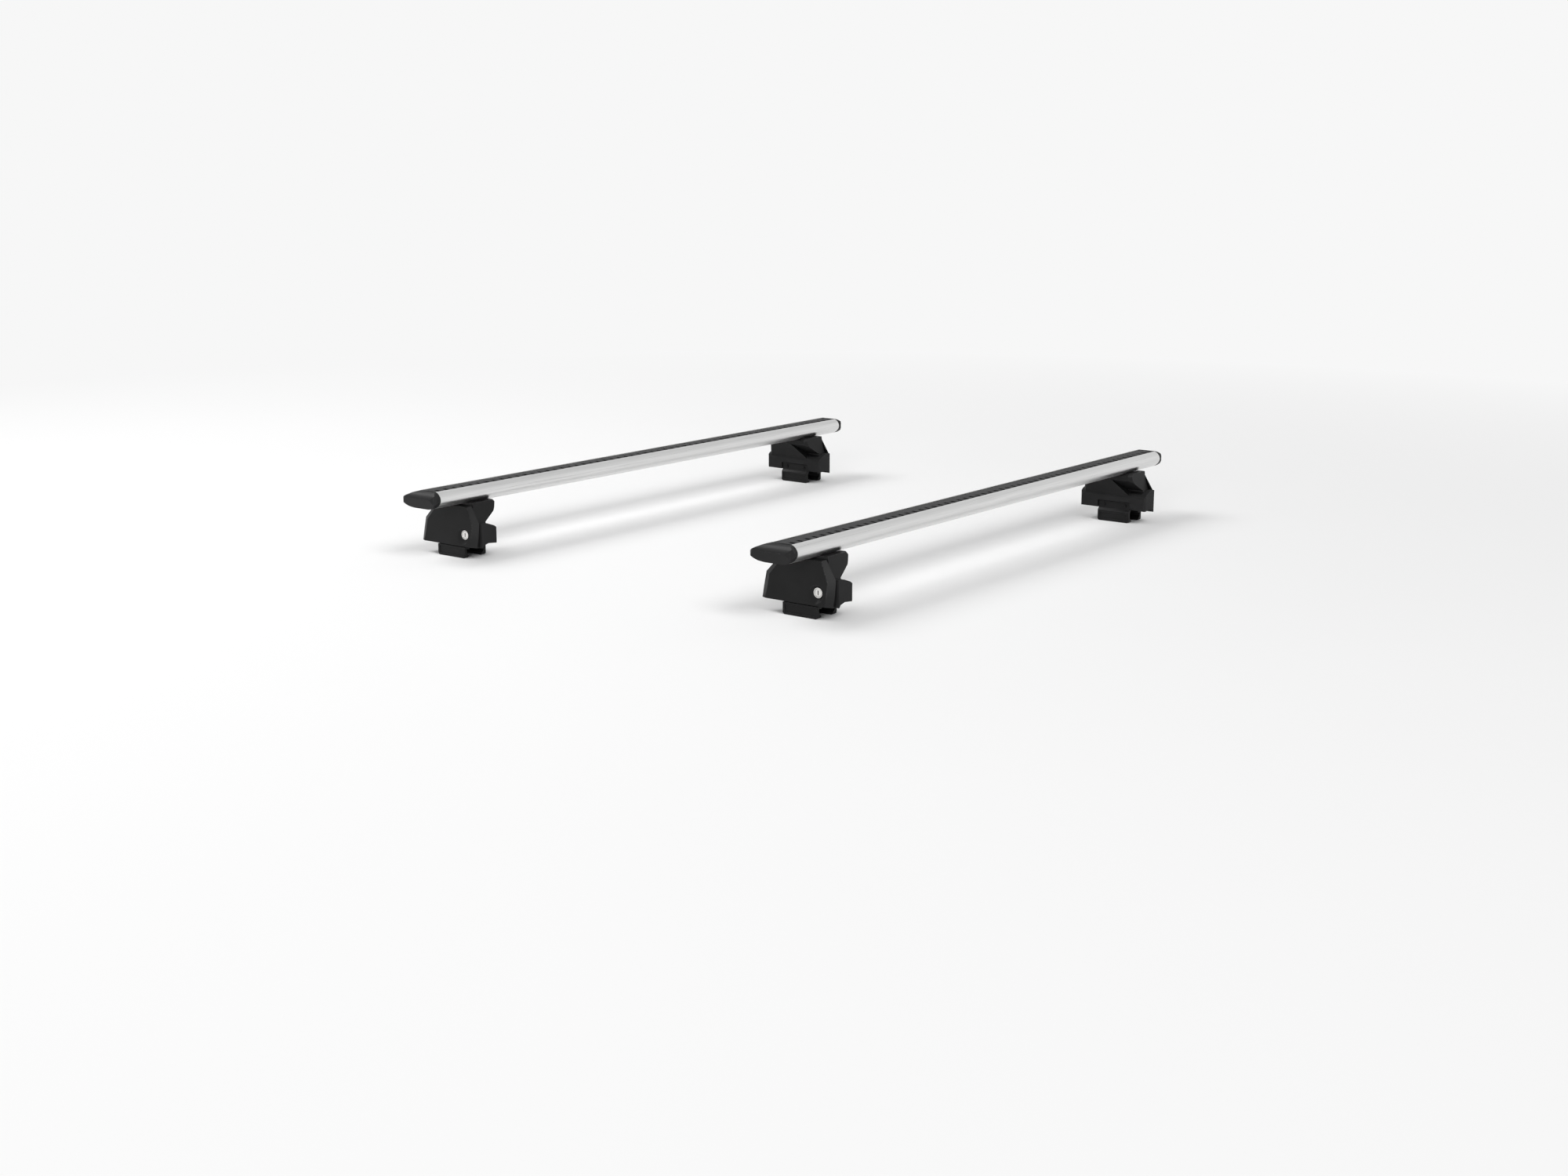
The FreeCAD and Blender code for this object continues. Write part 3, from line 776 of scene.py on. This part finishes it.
def screw_tree():
    sizes = {"Spacing": "Float", "Head": "Float", "Height": "Float", "Socket": "Float", "Finish": "Material"}
    tree, given = start_tree("socket_screws", sizes)
    feeds = {"Vertices": HEAD_SIDES, "Radius": given["Head"], "Depth": given["Height"]}
    head = add(tree, "GeometryNodeMeshCylinder", feeds).outputs["Mesh"]
    feeds = {"Vertices": SOCKET_SIDES, "Radius": given["Socket"], "Depth": given["Height"]}
    cutter = add(tree, "GeometryNodeMeshCylinder", feeds).outputs["Mesh"]
    lift = add(tree, "ShaderNodeCombineXYZ", {"Z": given["Height"]}).outputs[0]
    feeds = {"Geometry": cutter, "Translation": lift, "Scale": SOCKET_STRETCH}
    cutter = add(tree, "GeometryNodeTransform", feeds).outputs[0]
    screw = add(tree, "GeometryNodeMeshBoolean", {0: head, 1: cutter}, operation="DIFFERENCE").outputs[0]
    feeds = {"Geometry": screw, "Rotation": (math.pi / 2, 0, 0)}
    screw = add(tree, "GeometryNodeTransform", feeds).outputs[0]
    step = add(tree, "ShaderNodeCombineXYZ", {"X": given["Spacing"]}).outputs[0]
    row = add(tree, "GeometryNodeMeshLine", {"Count": 2, "Offset": step}, mode="OFFSET").outputs[0]
    screws = add(tree, "GeometryNodeInstanceOnPoints", {"Points": row, "Instance": screw}).outputs[0]
    return end_tree(tree, screws, given["Finish"])


print("screw heads have", HEAD_SIDES, "sides")

# %% Screws on the four inner jaws
SCREW_PLACE = (-17 * MM, -26.2 * MM, -85 * MM)


def starter():
    """A single point, for trees that need no mesh of their own."""
    return loop_mesh("none", [(0, 0, 0)], closed=False)


screws = run_tree(screw_tree(), starter(), {"Spacing": 40 * MM, "Head": 3.1 * MM, "Height": 1.8 * MM,
                                            "Socket": 1.4 * MM, "Finish": finishes["jaw_metal"]})
screws.transform(Matrix.Translation(SCREW_PLACE))
for bar, side in CORNERS:
    corner = "%s_%s" % (bar, side)
    keep(carried(screws, bar, side), corner + "_jaw_screws", "jaw_metal", corner + "_foot")
print("screws:", 2 * len(CORNERS))

# %% [markdown]
# ## The thread of the clamp bolts
# One turn of the bolt draws the outer jaw in by a millimetre, so the thread is
# a helix with a pitch of one millimetre. A Spiral curve with a small
# three-sided profile swept along it is the thread; it is right-handed on all
# four feet, so it is turned into place and never mirrored.

# %% Tree: thread
HELIX_STEPS, RIDGE_SIDES = 16, 3


def thread_tree():
    sizes = {"Turns": "Float", "Radius": "Float", "Length": "Float", "Ridge": "Float", "Finish": "Material"}
    tree, given = start_tree("bolt_thread", sizes)
    feeds = {"Resolution": HELIX_STEPS, "Rotations": given["Turns"], "Start Radius": given["Radius"],
             "End Radius": given["Radius"], "Height": given["Length"]}
    helix = add(tree, "GeometryNodeCurveSpiral", feeds).outputs[0]
    feeds = {"Resolution": RIDGE_SIDES, "Radius": given["Ridge"]}
    ridge = add(tree, "GeometryNodeCurvePrimitiveCircle", feeds).outputs[0]
    feeds = {"Curve": helix, "Profile Curve": ridge, "Fill Caps": True}
    thread = add(tree, "GeometryNodeCurveToMesh", feeds).outputs[0]
    return end_tree(tree, thread, given["Finish"])


print("each turn has", HELIX_STEPS, "steps")

# %% Threads on the four bolts
TURNS, THREAD_PITCH = 15, 1 * MM
BOLT_X, BOLT_W, THREAD_OUT = 3 * MM, -70 * MM, 0.6 * MM
thread = run_tree(thread_tree(), starter(), {"Turns": float(TURNS), "Radius": 2.95 * MM,
                                             "Length": TURNS * THREAD_PITCH, "Ridge": 0.32 * MM,
                                             "Finish": finishes["bolt_steel"]})
for bar, side in CORNERS:
    corner = "%s_%s" % (bar, side)
    sign = OUTWARD[side]
    lay = Matrix.Rotation(sign * math.pi / 2, 4, "X")
    start = (BAR_X[bar] + BOLT_X, sign * (FOOT_Y + THREAD_OUT), TOP + BOLT_W)
    copy = thread.copy()
    copy.transform(Matrix.Translation(start) @ lay)
    keep(outward(copy), corner + "_bolt_thread", "bolt_steel", corner + "_bolt")
print("thread faces:", len(thread.polygons))

# %% [markdown]
# ## A white floor
# The studio is white, and the floor keeps only the shadows. Close to the model
# it is an ordinary pale surface. Farther out it fades into plain white light,
# for the rays that look at it, so that no horizon shows behind the bars.

# %% Floor
WHITE = 0.93
FLOOR_HALF = 30
FLOOR_SHADES = (0.90, 0.90, 0.90), (0.92, 0.92, 0.92)
FADE_START, FADE_END = 0.9, 3.0


def white_rays(tree):
    """One for the rays that see the backdrop: camera, glossy and transmission rays."""
    ray = add(tree, "ShaderNodeLightPath").outputs
    feeds = {0: ray["Is Camera Ray"], 1: ray["Is Glossy Ray"]}
    either = add(tree, "ShaderNodeMath", feeds, operation="MAXIMUM").outputs[0]
    feeds = {0: either, 1: ray["Is Transmission Ray"]}
    return add(tree, "ShaderNodeMath", feeds, operation="MAXIMUM").outputs[0]


def floor_finish():
    material, tree, shader, place = start_finish("pale_floor", metallic=0.0)
    cloud = grain(tree, place, size=0.8, detail=2.0)
    tree.links.new(tint(tree, cloud, *FLOOR_SHADES), shader.inputs["Base Color"])
    shader.inputs["Roughness"].default_value = 0.7
    shader.inputs["Specular IOR Level"].default_value = 0.1
    reach = add(tree, "ShaderNodeVectorMath", {0: place}, operation="LENGTH").outputs["Value"]
    feeds = {0: span(tree, reach, 0, 1, FADE_START, FADE_END), 1: white_rays(tree)}
    far = add(tree, "ShaderNodeMath", feeds, operation="MULTIPLY").outputs[0]
    feeds = {"Color": (WHITE, WHITE, WHITE, 1), "Strength": 1.0}
    white = add(tree, "ShaderNodeEmission", feeds).outputs[0]
    mix = add(tree, "ShaderNodeMixShader", {0: far, 1: shader.outputs[0], 2: white}).outputs[0]
    tree.links.new(mix, tree.nodes["Material Output"].inputs["Surface"])
    return material


mesh = bpy.data.meshes.new("floor")
rim = [(x * FLOOR_HALF, y * FLOOR_HALF, 0) for x, y in ((-1, -1), (1, -1), (1, 1), (-1, 1))]
mesh.from_pydata(rim, [], [(0, 1, 2, 3)])
mesh.materials.append(floor_finish())
floor = bpy.data.objects.new("floor", mesh)
bpy.context.scene.collection.objects.link(floor)
print("floor laid,", 2 * FLOOR_HALF, "m wide")

# %% [markdown]
# ## World and lamps
# A soft world, a broad sun and two large lamps light the studio. The world
# shows the camera and the shiny metal a bright surround, and lights everything
# else more gently, so that the black parts keep their depth and the silver bars
# have something pale to reflect.

# %% World
SOFT_LIGHT = 0.34
ZENITH = (0.60, 0.60, 0.60)
scene = bpy.context.scene
scene.view_settings.view_transform = "Standard"
world = bpy.data.worlds.new("studio")
scene.world = world
world.use_nodes = True
sky = world.node_tree
soft = sky.nodes["Background"]
soft.inputs["Color"].default_value = (1.0, 1.0, 1.0, 1)
soft.inputs["Strength"].default_value = SOFT_LIGHT
ray = add(sky, "ShaderNodeTexCoord").outputs["Generated"]
height = add(sky, "ShaderNodeSeparateXYZ", {0: ray}).outputs["Z"]
shown = tint(sky, span(sky, height, 0, 1, start=0.25, stop=0.9), (WHITE, WHITE, WHITE), ZENITH)
seen = add(sky, "ShaderNodeBackground", {"Color": shown, "Strength": 1.0})
mix = add(sky, "ShaderNodeMixShader", {0: white_rays(sky), 1: soft.outputs[0], 2: seen.outputs[0]})
sky.links.new(mix.outputs[0], sky.nodes["World Output"].inputs["Surface"])
print("world set, soft light", SOFT_LIGHT)

# %% Lamps
def lamp(name, kind, place, power):
    """A lamp that looks at the origin."""
    light = bpy.data.lights.new(name, kind)
    light.energy = power
    holder = bpy.data.objects.new(name, light)
    scene.collection.objects.link(holder)
    holder.location = place
    holder.rotation_euler = Vector(place).to_track_quat("Z", "Y").to_euler()
    return light


lamp("key", "SUN", place=(2.2, -0.7, 2.2), power=1.4).angle = math.radians(28)
lamp("over", "AREA", place=(-3.6, -1.8, 4.6), power=170).size = 3.2
lamp("front", "AREA", place=(2.8, -6.2, 1.8), power=150).size = 2.6
print("lamps:", len(bpy.data.lights))

# %% [markdown]
# ## Camera
# The camera stands where the photograph was taken from. Its place could be
# guessed by eye, but a fit is surer: the ends of both bars and the corners of
# all four feet, matched to the picture, give its angles, distance and lens.

# %% Camera at the photograph's angle
AZIMUTH, ELEVATION = math.radians(37.283), math.radians(12.454)
AIM, DISTANCE = Vector((0.0116, -0.0659, -0.0761)), 3.3585
LENS, SENSOR = 46.8, 36
level = math.cos(ELEVATION)
back_way = Vector((math.sin(AZIMUTH) * level, -math.cos(AZIMUTH) * level, math.sin(ELEVATION)))
eye = bpy.data.cameras.new("camera")
eye.lens = LENS
eye.sensor_width = SENSOR
camera = bpy.data.objects.new("camera", eye)
scene.collection.objects.link(camera)
camera.location = AIM + DISTANCE * back_way
camera.rotation_euler = back_way.to_track_quat("Z", "Y").to_euler()
scene.camera = camera
print("camera at", tuple(round(v, 3) for v in camera.location))
